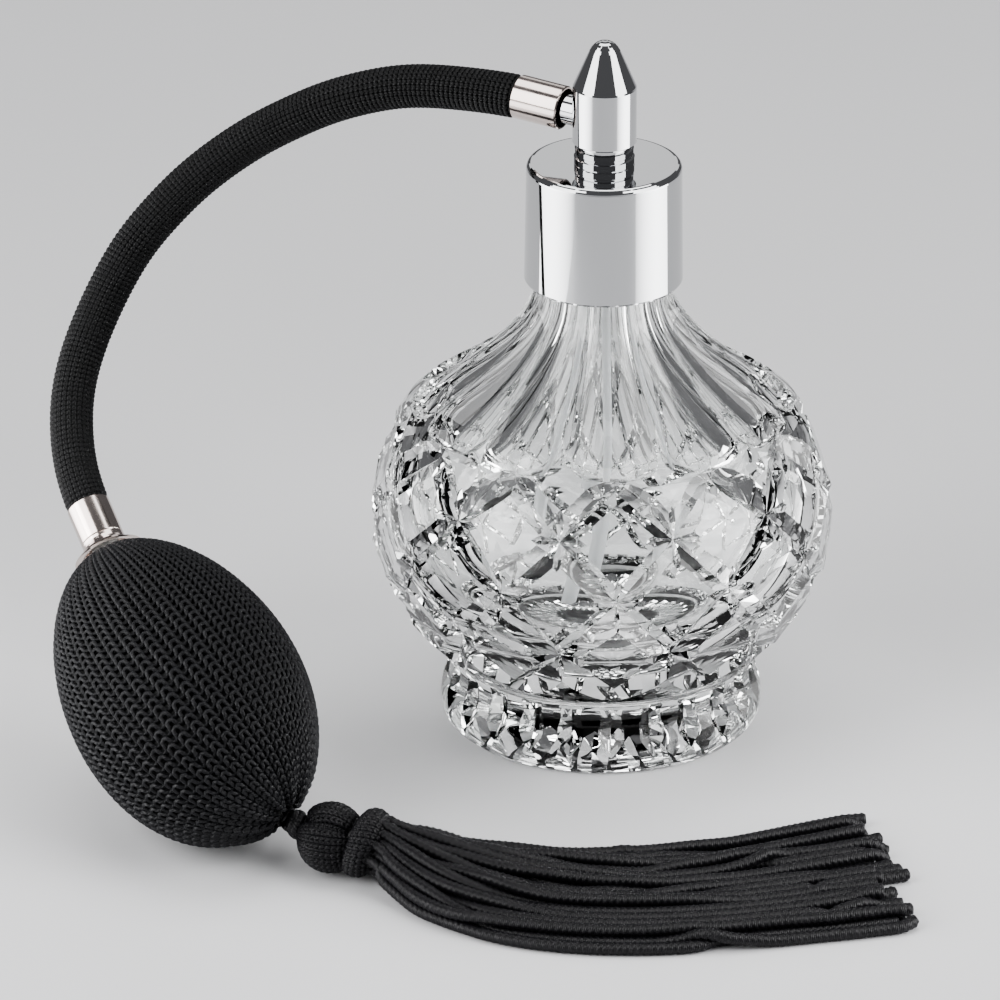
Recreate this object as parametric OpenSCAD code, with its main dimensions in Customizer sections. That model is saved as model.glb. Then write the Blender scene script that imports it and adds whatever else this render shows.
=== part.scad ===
// Perfume bottle with a bulb atomizer: cut-glass bottle, chrome spray head,
// braided hose, knitted squeeze bulb and cord tassel.
// Millimetres, +Z up. The origin is the centre of the bottle's flat base.

/* [Bottle] */
// Widest radius of the glass body
body_r = 39; // [38.5:0.25:39.5]
// Radius of the round foot at its widest
foot_r = 27; // [26.5:0.25:27.5]
// Widest radius of the hollow inside the body
hollow_r = 33.5; // [32:0.5:34]
// Radius of the bore through the neck
neck_bore_r = 7.3; // [7.1:0.1:7.6]

/* [Collar] */
// Radius of the collar at its lower edge
collar_low_r = 13.1; // [12.9:0.1:13.4]
// Radius of the collar at its top
collar_top_r = 12.8; // [12.6:0.1:12.9]

/* [Spray head] */
// Radius of the head's straight part
head_r = 5.25; // [5.1:0.05:5.4]
// Height of the head's rounded tip above the table
head_top_z = 120; // [119:0.5:121]

/* [Hose] */
// Radius over the braided sleeve
hose_r = 3.6; // [3.5:0.05:3.7]
// Radius of the bore in the rubber hose
hose_bore_r = 1.6; // [1.58:0.01:1.65]
// Radius over the metal ferrules
ferrule_r = 3.65; // [3.6:0.05:3.8]

/* [Bulb] */
// Widest radius over the knitted cover, before the egg shape is applied
bulb_r = 19.5; // [19.2:0.1:19.6]
// Half of the length of the bulb
bulb_half_l = 30.3; // [30:0.1:30.6]
// Share by which the tail end is fatter than the neck end
bulb_egg = 0.09; // [0.08:0.01:0.1]

/* [Tassel] */
// Radius of the band round the tassel's neck
wrap_r = 5.3; // [5.1:0.1:5.4]

/* [Hidden] */
$fn = 96;

// heights of the glass
hollow_z = 37.5;        // widest level of the hollow
body_z = 36.8;          // widest level of the body
body_low = 32;          // half height of the body's lower ellipse
body_high = 33.5;       // half height of the body's upper ellipse
hollow_low = 23.5;
hollow_high = 26.5;
neck_r = 9.7;           // outside of the threaded neck
thread_r = 10.5;        // crest of the neck's thread
rim_z = 94.4;           // sealing rim of the neck

// heights of the closure, from the rim up
gasket_t = 1;
flange_z = rim_z + gasket_t;
flange_t = 1.5;
flange_top = flange_z + flange_t;
collar_low_z = 78.5;
collar_top_z = 98.8;
collar_wall = 0.6;
liner_low_z = 81.2;
stem_r = 4.1;           // the core where it passes through the collar
core_r = 3.2;           // the core inside the head
base_ring_top = 102.4;
cone_z = 112.2;         // where the head starts to taper

// side pipe: a point on the bottle's axis and a direction outwards
pipe_z = 106.5;
pipe_o = [0, 0, pipe_z];
pipe_dir = unit([-0.89, 0.45, 0.07]);
pipe_r = 1.5;
mouth_s = 7.3;          // head end of the upper ferrule, along the pipe
hose_s = 9;             // head end of the hose, along the pipe
ferrule_s = 15.7;       // hose end of the upper ferrule

// spray orifice, at a right angle to the side pipe
jet_z = 110;
jet_dir = unit([0.45, 0.89, 0]);

// bulb connector: the centre of the cup's rim and the direction into the bulb
cup_o = [-81.7, -13.4, 34.3];
cup_dir = unit([0.38, -0.72, -0.58]);
ferrule_t = -9.8;       // hose end of the lower ferrule, along cup_dir
hose_t = -4.6;          // where the hose ends on the connector
cup_t = -2.8;           // hose side of the cup

// bulb: its centre and the direction from neck to tail
bulb_o = [-69, -39.2, 22.3];
bulb_dir = unit([0.44, -0.81, -0.385]);
knit_t = 1;             // thickness of the knitted cover
skin_gap = 0.05;        // gap between cover and rubber
rubber_t = 1.6;         // wall of the rubber bulb
bladder_neck_r = 3.2;   // its neck, pushed over the connector

// check valves
ball_r = 1.2;
seat_r = 0.8;
valve_bore_r = 1.35;
ball_rest = sqrt(ball_r * ball_r - seat_r * seat_r) + 0.02;
ball_lift = 1;

// tassel: where it hangs from the bulb, and the way it points
tie_o = [-50.4, -58.2, 8];
tie_dir = unit([0.82, -0.32, -0.48]);
knot_o = [-44.3, -60.5, 6];
knot_dir = unit([0.95, -0.31, 0]);
knot_r = 5.9;
knot_half_l = 5.2;
core_cord_r = 3.5;      // the bunched cords under the band
band_s = 3.2;           // band's near end, along knot_dir
skirt_s = 9.8;          // band's far end

// centreline of the hose between its ferrules
hose_route = [
    [-20.5, 10, 107.5], [-26.5, 13, 107], [-33, 16, 106], [-39.5, 18, 104], [-45.5, 20, 101.5],
    [-51.5, 22, 98], [-57.5, 23, 94.5], [-63, 23.5, 90.5], [-68.5, 23.5, 86], [-73.5, 22.5, 81],
    [-78, 21, 76], [-81.5, 19, 70.5], [-84.5, 16, 65], [-87, 12, 59.5], [-88.5, 8, 54],
    [-88.5, 3, 48.5], [-87.5, -2, 44]];

// outline of the skirt as it lies: [x, y, half width, height]
skirt_line = [
    [-30, -66.5, 10, 9.6], [-25, -69.5, 13.5, 8.4], [-19, -72.5, 15.5, 7], [-8, -76, 15.5, 5.8],
    [3, -76.5, 15, 5], [14, -74.5, 15, 4.6], [25, -71, 16, 4.2], [36, -66, 18.5, 3.6],
    [46, -63, 18.5, 2.6]];

// ---- helpers ----
function unit(v) = v / norm(v);
function bez(a, b, c, d, t) =
    pow(1 - t, 3) * a + 3 * t * pow(1 - t, 2) * b + 3 * t * t * (1 - t) * c + pow(t, 3) * d;
function bez_line(a, b, c, d, n) = [for (i = [0 : n]) bez(a, b, c, d, i / n)];
function ellipse_arc(zc, rx, rz, a0, a1, n) =
    [for (i = [0 : n]) let (t = a0 + (a1 - a0) * i / n) [rx * cos(t), zc + rz * sin(t)]];
function reversed(list) = [for (i = [len(list) - 1 : -1 : 0]) list[i]];

// egg outline: a is 0 at the neck end and 180 at the tail, inset is measured along the normal
function egg_raw(a) = [bulb_r * sin(a) * (1 - bulb_egg * cos(a)), -bulb_half_l * cos(a)];
function egg(a, inset) =
    let (s = unit(egg_raw(a + 0.5) - egg_raw(a - 0.5)), p = egg_raw(a) + inset * [-s[1], s[0]])
    [max(p[0], 0), p[1]];
function egg_line(inset, a0, a1, n) = [for (i = [0 : n]) egg(a0 + (a1 - a0) * i / n, inset)];

// turns local +Z onto direction d at point p
module along(p, d) {
    translate(p) rotate([0, acos(d[2]), atan2(d[1], d[0])]) children();
}

// a tube or rod between two distances along an axis
module rod(p, d, s0, s1, r) {
    along(p + s0 * d, d) cylinder(h = s1 - s0, r = r);
}

// direction of the line through each point of a route
function tangents(p) = [for (i = [0 : len(p) - 1])
    unit(p[min(i + 1, len(p) - 1)] - p[max(i - 1, 0)])];
function ring(p, t, side, r, n) =
    let (u = unit(cross(t, side)), v = cross(t, u))
    [for (k = [0 : n - 1]) p + r * (cos(k * 360 / n) * u + sin(k * 360 / n) * v)];

// a hollow tube swept along a route, as one polyhedron: outer rings, then inner rings
module swept_tube(route, radii, bores, side, n) {
    m = len(route);
    t = tangents(route);
    outer = [for (i = [0 : m - 1]) each ring(route[i], t[i], side, radii[i], n)];
    inner = [for (i = [0 : m - 1]) each ring(route[i], t[i], side, bores[i], n)];
    q = m * n;
    walls = [for (i = [0 : m - 2], k = [0 : n - 1]) let (a = i * n + k, b = i * n + (k + 1) % n)
        each [[b, a, b + n], [b + n, a, a + n],
              [q + a + n, q + a, q + b + n], [q + b + n, q + a, q + b]]];
    ends = [for (k = [0 : n - 1]) let (j = (k + 1) % n, z = (m - 1) * n)
        each [[q + k, k, q + j], [q + j, k, j],
              [z + j, z + k, q + z + j], [q + z + j, z + k, q + z + k]]];
    polyhedron(concat(outer, inner), concat(walls, ends), convexity = 10);
}

// ---- glass ----
body_a0 = -asin((body_z - 15.2) / body_low);
body_a1 = asin((55 - body_z) / body_high);
hollow_a1 = 42;
body_start = [body_r * cos(body_a0), body_z + body_low * sin(body_a0)];
body_end = [body_r * cos(body_a1), body_z + body_high * sin(body_a1)];
hollow_end = [hollow_r * cos(hollow_a1), hollow_z + hollow_high * sin(hollow_a1)];

function thread_turn(z) = [[neck_r, z], [thread_r, z + 0.6], [thread_r, z + 1.4], [neck_r, z + 2]];
function glass_outside() = concat(
    [[0, 0]],
    bez_line([foot_r - 1.6, 0], [foot_r, 0], [foot_r + 0.2, 2.6], [foot_r - 0.1, 4.4], 6),
    bez_line([foot_r - 0.2, 5], [foot_r - 0.6, 7], [foot_r - 1.6, 8.5], [foot_r - 1.4, 11], 4),
    bez_line([foot_r - 1.3, 11.5], [foot_r - 0.9, 13], body_start - [1, 0.9], body_start, 4),
    ellipse_arc(body_z, body_r, body_low, body_a0 + 3, 0, 12),
    ellipse_arc(body_z, body_r, body_high, 4, body_a1, 8),
    bez_line([31.8, 55.7], [27.5, 58.8], [11.3, 68.5], [11.3, 78.5], 12),
    [[11, 79.3], [neck_r, 80.4]],
    thread_turn(83), thread_turn(87.4),
    [[neck_r, rim_z - 0.5], [neck_r - 0.5, rim_z], [neck_bore_r, rim_z]]);
function glass_inside() = concat(
    [[neck_bore_r, 79]],
    reversed(bez_line(hollow_end, [18.9, 60.5], [neck_bore_r, 66], [neck_bore_r, 78.5], 10)),
    ellipse_arc(hollow_z, hollow_r, hollow_high, hollow_a1 - 4, 4, 8),
    ellipse_arc(hollow_z, hollow_r, hollow_low, 0, -84, 14),
    [[0, hollow_z - hollow_low]]);

module glass_bottle() {
    color("lightcyan", 0.6)
    rotate_extrude() polygon(concat(glass_outside(), glass_inside()));
}

// ---- closure ----
module neck_gasket() {
    color("ivory")
    translate([0, 0, rim_z]) difference() {
        cylinder(h = gasket_t, r = 10);
        translate([0, 0, -1]) cylinder(h = gasket_t + 2, r = neck_bore_r);
    }
}

module collar_shell() {
    fillet = 1;
    color("silver")
    rotate_extrude() polygon(concat(
        [[collar_low_r - collar_wall, collar_low_z], [collar_low_r - 0.15, collar_low_z],
         [collar_low_r, collar_low_z + 0.3]],
        [for (a = [0 : 15 : 90])
            [collar_top_r - fillet + fillet * cos(a), collar_top_z - fillet + fillet * sin(a)]],
        [[stem_r + 0.2, collar_top_z], [stem_r + 0.2, collar_top_z - 0.7],
         [collar_top_r - collar_wall, collar_top_z - 0.7]]));
}

module collar_liner() {
    gap = 0.05;
    low = collar_low_r - collar_wall - gap - 0.05;
    top = collar_top_r - collar_wall - gap;
    color("white")
    difference() {
        translate([0, 0, liner_low_z])
            cylinder(h = collar_top_z - 0.75 - liner_low_z, r1 = low, r2 = top);
        translate([0, 0, liner_low_z - 1]) cylinder(h = flange_top - liner_low_z + 1, r = thread_r + 0.3);
        translate([0, 0, liner_low_z]) cylinder(h = 20, r = stem_r + 0.3);
    }
}

// ---- spray pump ----
dip_socket_z = 84;
dip_top = 92.9;
tube_r = 2;

module spray_core() {
    channel_r = 0.75;
    color("gainsboro")
    difference() {
        rotate_extrude() polygon([
            [0, dip_socket_z], [3.4, dip_socket_z], [3.6, dip_socket_z + 0.6], [3.6, flange_z],
            [9.9, flange_z], [9.9, flange_top], [stem_r, flange_top], [stem_r, 104],
            [core_r, 104.6], [core_r, 113.2], [core_r - 0.5, 113.7], [0, 113.7]]);
        translate([0, 0, dip_socket_z - 1]) cylinder(h = dip_top + 1 - dip_socket_z, r = tube_r + 0.02);
        translate([0, 0, dip_top - 0.1]) cylinder(h = jet_z + 1.1 - dip_top, r = channel_r);
        rod([0, 0, jet_z], jet_dir, 0, 5, 0.5);
    }
}

// the plastic tube hangs straight, then bends gently towards -X
module dip_tube_solid(r) {
    bend_z = 62;
    bend_r = 220;
    bend_a = 11.6;
    translate([0, 0, bend_z]) cylinder(h = dip_top - bend_z, r = r);
    translate([-bend_r, 0, bend_z]) rotate([-90, 0, 0])
        rotate_extrude(angle = bend_a) translate([bend_r, 0]) circle(r = r);
}

module dip_tube() {
    cut_z = 17.5;
    color("white", 0.8)
    difference() {
        dip_tube_solid(tube_r);
        dip_tube_solid(tube_r - 0.6);
        translate([0, 0, dip_top - 0.5]) cylinder(h = 2, r = tube_r - 0.6);
        translate([-4.5, 0, cut_z]) rotate([0, -30, 0]) translate([0, 0, -10])
            cube([30, 30, 20], center = true);
    }
}

module head_base_ring() {
    bore = stem_r + 0.02;
    color("silver")
    rotate_extrude() polygon([
        [bore, collar_top_z], [4.95, collar_top_z],
        [5.0, collar_top_z + 0.2], [5.0, collar_top_z + 1.2],
        [4.7, collar_top_z + 1.4], [4.7, collar_top_z + 1.7], [4.85, collar_top_z + 1.9],
        [4.85, collar_top_z + 2.7], [4.6, collar_top_z + 2.9], [4.6, base_ring_top], [bore, base_ring_top]]);
}

module head_shell() {
    tip = [
        each bez_line([2.5, head_top_z - 1.6], [1.9, head_top_z - 0.5], [1.1, head_top_z],
                      [0, head_top_z], 6)];
    color("silver")
    difference() {
        rotate_extrude() polygon(concat(
            [[0, base_ring_top], [head_r - 0.25, base_ring_top], [head_r, base_ring_top + 0.25],
             [head_r, cone_z - 0.2], [head_r - 0.08, cone_z + 0.1]], tip));
        translate([0, 0, base_ring_top - 1]) cylinder(h = 2.8, r = stem_r + 0.02);
        translate([0, 0, base_ring_top]) cylinder(h = 11.6, r = 4);
        rod(pipe_o, pipe_dir, 2, 8, pipe_r + 0.02);
        rod([0, 0, jet_z], jet_dir, 2, 8, 1.2);
    }
}

module nozzle_insert() {
    color("dimgray")
    difference() {
        rod([0, 0, jet_z], jet_dir, 3.4, head_r - 0.15, 1.17);
        rod([0, 0, jet_z], jet_dir, 3, 7, 0.25);
        rod([0, 0, jet_z], jet_dir, head_r - 0.6, 7, 0.6);
        rod([0, 0, jet_z], jet_dir, 3, 3.9, 0.7);
    }
}

module liquid_jet() {
    color("gold")
    difference() {
        rod([0, 0, jet_z], jet_dir, 0.9, 3.8, 0.48);
        rod([0, 0, jet_z], jet_dir, 0.5, 4.2, 0.2);
    }
}

module side_pipe() {
    color("silver")
    difference() {
        union() {
            rod(pipe_o, pipe_dir, 3.5, 14.8, pipe_r - 0.05);
            rod(pipe_o, pipe_dir, 3.5, 7.2, pipe_r);
        }
        rod(pipe_o, pipe_dir, 3, 16, 0.9);
    }
}

module pipe_boss() {
    color("silver")
    difference() {
        rod(pipe_o, pipe_dir, 4.2, mouth_s - 0.3, 2.5);
        rod(pipe_o, pipe_dir, 3, 9, pipe_r + 0.02);
        translate([0, 0, 95]) cylinder(h = 25, r = head_r + 0.01);
    }
}

// ---- hose ----
module ferrule_tube(l) {
    color("rosybrown")
    rotate_extrude() polygon([
        [ferrule_r - 0.4, 0], [ferrule_r - 0.15, 0], [ferrule_r, 0.2], [ferrule_r, l - 0.2],
        [ferrule_r - 0.15, l], [ferrule_r - 0.4, l]]);
}

module upper_ferrule() {
    along(pipe_o + mouth_s * pipe_dir, pipe_dir) ferrule_tube(ferrule_s - mouth_s);
}

module lower_ferrule() {
    along(cup_o + ferrule_t * cup_dir, cup_dir) ferrule_tube(cup_t - 0.05 - ferrule_t);
}

// the whole hose, from its end on the side pipe to its end on the connector
whole_route = concat(
    [pipe_o + hose_s * pipe_dir, pipe_o + (ferrule_s - 0.1) * pipe_dir,
     pipe_o + (ferrule_s + 1) * pipe_dir],
    hose_route,
    [cup_o + (ferrule_t - 1) * cup_dir, cup_o + (ferrule_t + 0.1) * cup_dir, cup_o + hose_t * cup_dir]);
hose_rings = len(whole_route);
hose_side = unit([-0.44, -0.67, 0.6]);
hose_sides = 12;
tube_skin_r = 2.3;
held_r = ferrule_r - 0.45;
function hose_radius(i) = (i < 2 || i > hose_rings - 3) ? held_r : hose_r;

module hose_tube() {
    color("#202020")
    swept_tube(whole_route, [for (i = [1 : hose_rings]) tube_skin_r],
               [for (i = [1 : hose_rings]) hose_bore_r], hose_side, hose_sides);
}

module hose_braid() {
    color("#181818")
    swept_tube(whole_route, [for (i = [0 : hose_rings - 1]) hose_radius(i)],
               [for (i = [1 : hose_rings]) tube_skin_r], hose_side, hose_sides);
}

// ---- bulb connector and valves ----
module bulb_cup() {
    rim_r = 5.95;
    wall = 0.45;
    base_t = 0.5;
    flare = rim_r - ferrule_r;
    color("rosybrown")
    along(cup_o, cup_dir) rotate_extrude() polygon(concat(
        [[2.45, cup_t]],
        [for (a = [0 : 10 : 90]) [ferrule_r + flare * (1 - cos(a)), cup_t - cup_t * sin(a)]],
        [for (a = [90 : -10 : 0])
            [ferrule_r - wall + flare * (1 - cos(a)), cup_t + base_t - (cup_t + base_t) * sin(a)]],
        [[2.45, cup_t + base_t]]));
}

seat_t = 5;             // seat of the outlet valve, along cup_dir

module bulb_connector() {
    stop_t = seat_t - ball_rest - ball_lift - ball_r - 0.05;
    color("white")
    along(cup_o, cup_dir) difference() {
        rotate_extrude() polygon([
            [0, -8.6], [1.2, -8.6], [hose_bore_r - 0.12, -8], [hose_bore_r - 0.12, hose_t + 0.1],
            [3.15, hose_t + 0.1], [3.15, cup_t - 0.1], [2.4, cup_t - 0.1], [2.4, 7.4], [0, 7.4]]);
        translate([0, 0, -9]) cylinder(h = 12, r = 0.7);
        translate([0, 0, stop_t]) cylinder(h = seat_t - stop_t, r = valve_bore_r);
        translate([0, 0, seat_t]) cylinder(h = 3, r = 1.8);
        for (a = [0, 90]) rotate([0, 0, a]) translate([-1.3, -0.25, stop_t - 0.6]) cube([2.6, 0.5, 1]);
    }
}

module outlet_seat() {
    color("gold")
    along(cup_o, cup_dir) translate([0, 0, seat_t]) difference() {
        cylinder(h = 2.4, r = 1.78);
        translate([0, 0, -1]) cylinder(h = 5, r = seat_r);
    }
}

module outlet_ball() {
    color("lightgray")
    translate(cup_o + (seat_t - ball_rest) * cup_dir) sphere(r = ball_r);
}

// ---- bulb ----
module at_bulb() { along(bulb_o, bulb_dir) children(); }
module cup_side() { along(cup_o + 0.06 * cup_dir - 20 * cup_dir, cup_dir) cylinder(h = 20, r = 16); }

module bulb_bladder() {
    outer = knit_t + skin_gap;
    inner = outer + rubber_t;
    color("#303030")
    difference() {
        union() {
            at_bulb() rotate_extrude() polygon(egg_line(outer, 0, 180, 30));
            along(cup_o - 0.9 * cup_dir, cup_dir) cylinder(h = 6, r = bladder_neck_r);
        }
        difference() {
            at_bulb() rotate_extrude() polygon(egg_line(inner, 0, 180, 30));
            along(cup_o - 0.9 * cup_dir, cup_dir) cylinder(h = 8, r = bladder_neck_r);
        }
        along(cup_o - 2 * cup_dir, cup_dir) cylinder(h = 12, r = 2.42);
        rod(bulb_o, bulb_dir, 24, 32, 2.5);
        rod(bulb_o, bulb_dir, inlet_outer_s - 0.02, 32, 2.8);
    }
}

module bulb_cover() {
    neck = [5.6, -30.6];
    color("#101010")
    difference() {
        at_bulb() rotate_extrude() polygon(concat(
            [neck], egg_line(0, 36, 180, 29), egg_line(knit_t, 180, 36, 29), [neck - [1.2, -0.6]]));
        cup_side();
        translate(tie_o) sphere(r = 3);
    }
}

inlet_seat_s = 26.5;    // seat of the inlet valve, along bulb_dir
inlet_inner_s = 22;
inlet_outer_s = 28.2;   // underside of its flange, sunk in the rubber
cage_s = inlet_seat_s - ball_rest - ball_lift - ball_r - 0.05;

module inlet_body() {
    color("white")
    along(bulb_o, bulb_dir) difference() {
        rotate_extrude() polygon([
            [0, inlet_inner_s], [2.3, inlet_inner_s], [2.48, inlet_inner_s + 1], [2.48, inlet_outer_s],
            [2.75, inlet_outer_s], [2.75, inlet_outer_s + 0.6], [0, inlet_outer_s + 0.6]]);
        translate([0, 0, inlet_seat_s - 1]) cylinder(h = 8, r = seat_r);
        translate([0, 0, cage_s]) cylinder(h = inlet_seat_s - cage_s, r = valve_bore_r);
        translate([0, 0, inlet_inner_s - 1]) cylinder(h = cage_s - inlet_inner_s + 1, r = 1.85);
    }
}

module inlet_cage() {
    color("gold")
    along(bulb_o, bulb_dir) difference() {
        translate([0, 0, inlet_inner_s + 0.1]) cylinder(h = cage_s - inlet_inner_s - 0.1, r = 1.83);
        for (a = [0 : 90 : 270]) rotate([0, 0, a]) translate([0.95, 0, inlet_inner_s - 1])
            cylinder(h = 5, r = 0.4);
    }
}

module inlet_ball() {
    color("lightgray")
    translate(bulb_o + (inlet_seat_s - ball_rest) * bulb_dir) sphere(r = ball_r);
}

module cover_tie() {
    depth = 1.2;        // sunk in the gathered end, clear of the tassel's swing
    color("#151515")
    along(tie_o - depth * tie_dir, tie_dir) rotate_extrude() translate([1, 0]) circle(r = 0.4, $fn = 24);
}

// ---- tassel ----
module knot_outline() {
    polygon(concat(
        [for (a = [-90 : 9 : 36]) [knot_r * cos(a), knot_half_l * sin(a)]],
        [[core_cord_r, band_s - 0.05], [core_cord_r, skirt_s], [0, skirt_s]]));
}

module tassel_loop() {
    loop_r = 0.9;
    color("#151515")
    difference() {
        hull() {
            translate(tie_o) sphere(r = loop_r, $fn = 32);
            translate(tie_o + 3 * unit(knot_o - tie_o)) sphere(r = loop_r, $fn = 32);
        }
        translate(knot_o) sphere(r = knot_half_l + 0.15);
    }
}

module tassel_head() {
    color("#151515")
    along(knot_o, knot_dir) rotate_extrude() knot_outline();
}

module tassel_wrap() {
    color("#1c1c1c")
    along(knot_o, knot_dir) rotate_extrude() polygon([
        [core_cord_r + 0.02, band_s + 0.15], [wrap_r - 0.5, band_s + 0.15], [wrap_r, band_s + 0.9],
        [wrap_r, skirt_s - 0.6], [wrap_r - 0.5, skirt_s], [core_cord_r + 0.02, skirt_s]]);
}

skirt_start = knot_o + (skirt_s + 0.05) * knot_dir;
skirt_rows = concat([[skirt_start[0], skirt_start[1], wrap_r - 0.2, 2 * knot_o[2] - 1]], skirt_line);
skirt_sides = 16;

function skirt_ring(i) =
    let (m = len(skirt_rows), q = skirt_rows[i],
         a = skirt_rows[max(i - 1, 0)], b = skirt_rows[min(i + 1, m - 1)],
         t = i == 0 ? [knot_dir[0], knot_dir[1]] : i == m - 1 ? [1, 0] : unit([b[0] - a[0], b[1] - a[1]]),
         z = i == 0 ? knot_o[2] : q[3] / 2 + 0.05)
    [for (k = [0 : skirt_sides - 1]) let (c = cos(k * 360 / skirt_sides), s = sin(k * 360 / skirt_sides))
        [q[0] - t[1] * q[2] * c, q[1] + t[0] * q[2] * c, z + q[3] / 2 * s]];

module tassel_skirt() {
    m = len(skirt_rows);
    n = skirt_sides;
    points = [for (i = [0 : m - 1]) each skirt_ring(i)];
    walls = [for (i = [0 : m - 2], k = [0 : n - 1]) let (a = i * n + k, b = i * n + (k + 1) % n)
        each [[a, a + n, b + n], [a, b + n, b]]];
    first = [for (k = [1 : n - 2]) [0, k, k + 1]];
    last = [for (k = [1 : n - 2]) let (z = (m - 1) * n) [z, z + k + 1, z + k]];
    color("#181818")
    polyhedron(points, concat(walls, first, last), convexity = 4);
}

glass_bottle();
neck_gasket();
collar_shell();
collar_liner();
spray_core();
dip_tube();
head_base_ring();
head_shell();
nozzle_insert();
liquid_jet();
side_pipe();
pipe_boss();
upper_ferrule();
hose_tube();
hose_braid();
lower_ferrule();
bulb_cup();
bulb_connector();
outlet_seat();
outlet_ball();
bulb_bladder();
bulb_cover();
inlet_body();
inlet_cage();
inlet_ball();
cover_tie();
tassel_loop();
tassel_head();
tassel_wrap();
tassel_skirt();
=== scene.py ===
"""Perfume bottle with a bulb atomizer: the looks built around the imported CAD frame.

Everything is in metres, in the frame's own axes. Sizes written in millimetres carry "* MM".
"""
import math

import bpy
import numpy as np
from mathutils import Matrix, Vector


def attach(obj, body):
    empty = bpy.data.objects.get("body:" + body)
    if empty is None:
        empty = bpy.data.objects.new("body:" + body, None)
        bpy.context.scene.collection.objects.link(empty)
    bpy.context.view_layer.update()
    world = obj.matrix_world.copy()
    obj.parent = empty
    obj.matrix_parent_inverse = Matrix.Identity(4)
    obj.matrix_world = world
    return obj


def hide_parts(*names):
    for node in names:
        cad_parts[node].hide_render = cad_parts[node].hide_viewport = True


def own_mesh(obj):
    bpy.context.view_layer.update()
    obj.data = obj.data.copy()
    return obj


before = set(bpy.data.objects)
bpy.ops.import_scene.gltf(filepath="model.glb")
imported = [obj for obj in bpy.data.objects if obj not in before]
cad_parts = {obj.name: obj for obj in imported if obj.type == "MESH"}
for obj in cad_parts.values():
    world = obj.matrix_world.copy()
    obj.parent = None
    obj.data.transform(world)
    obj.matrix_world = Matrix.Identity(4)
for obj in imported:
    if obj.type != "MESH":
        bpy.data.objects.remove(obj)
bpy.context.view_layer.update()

MM = 0.001
TAU = 2 * math.pi


# ---------------------------------------------------------------- camera
def make_camera():
    look_at = Vector((-17.03, 0, 38.11)) * MM
    pitch = math.radians(24.54)
    distance = 1.2
    data = bpy.data.cameras.new("camera")
    data.sensor_width = 36
    data.lens = 258.8
    data.clip_start = 0.01
    data.clip_end = 20
    cam = bpy.data.objects.new("camera", data)
    cam.location = look_at + distance * Vector((0, -math.cos(pitch), math.sin(pitch)))
    cam.rotation_euler = (math.pi / 2 - pitch, 0, 0)
    bpy.context.scene.collection.objects.link(cam)
    bpy.context.scene.camera = cam


make_camera()


# ---------------------------------------------------------------- vectors and lines
def unit(v):
    v = np.asarray(v, float)
    return v / np.linalg.norm(v, axis=-1, keepdims=True)


def bezier(a, b, c, d, n):
    """n + 1 points on a cubic Bezier curve."""
    t = np.linspace(0, 1, n + 1)[:, None]
    a, b, c, d = (np.asarray(p, float) for p in (a, b, c, d))
    return (1 - t) ** 3 * a + 3 * t * (1 - t) ** 2 * b + 3 * t * t * (1 - t) * c + t ** 3 * d


def arc_lengths(points):
    return np.concatenate([[0], np.cumsum(np.linalg.norm(np.diff(points, axis=0), axis=1))])


def at_lengths(points, where):
    """Points on a polyline at given distances along it."""
    s = arc_lengths(points)
    return np.stack([np.interp(where, s, points[:, k]) for k in range(points.shape[1])], 1)


def spaced(points, step):
    """The same line with points a step apart."""
    total = arc_lengths(points)[-1]
    return at_lengths(points, np.linspace(0, total, max(2, round(total / step)) + 1))


def smooth_through(points, per_span=12):
    """A Catmull-Rom curve through points."""
    p = np.asarray(points, float)
    p = np.vstack([2 * p[0] - p[1], p, 2 * p[-1] - p[-2]])
    t = np.linspace(0, 1, per_span, endpoint=False)[:, None]
    spans = [
        0.5 * (2 * p[i + 1] + (p[i + 2] - p[i]) * t
               + (2 * p[i] - 5 * p[i + 1] + 4 * p[i + 2] - p[i + 3]) * t ** 2
               + (3 * p[i + 1] - p[i] - 3 * p[i + 2] + p[i + 3]) * t ** 3)
        for i in range(len(p) - 3)
    ]
    return np.vstack([*spans, p[-2:-1]])


def tangents(points, closed=False):
    if closed:
        return unit(np.roll(points, -1, 0) - np.roll(points, 1, 0))
    return unit(np.gradient(points, axis=0))


def carried_frames(points):
    """Two normals at each point of a line, carried along it without twisting."""
    t = tangents(points)
    u = np.empty_like(t)
    start = np.array([0, 0, 1.0]) if abs(t[0][2]) < 0.9 else np.array([1.0, 0, 0])
    u[0] = unit(start - t[0] * (start @ t[0]))
    for i in range(1, len(t)):
        v = u[i - 1] - t[i] * (u[i - 1] @ t[i])
        u[i] = v / np.linalg.norm(v)
    return u, np.cross(t, u)


def around(angle, e1, e2):
    """Directions at angles in the plane of two unit vectors, counted from e1 towards e2."""
    return np.cos(angle)[..., None] * e1 + np.sin(angle)[..., None] * e2


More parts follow.
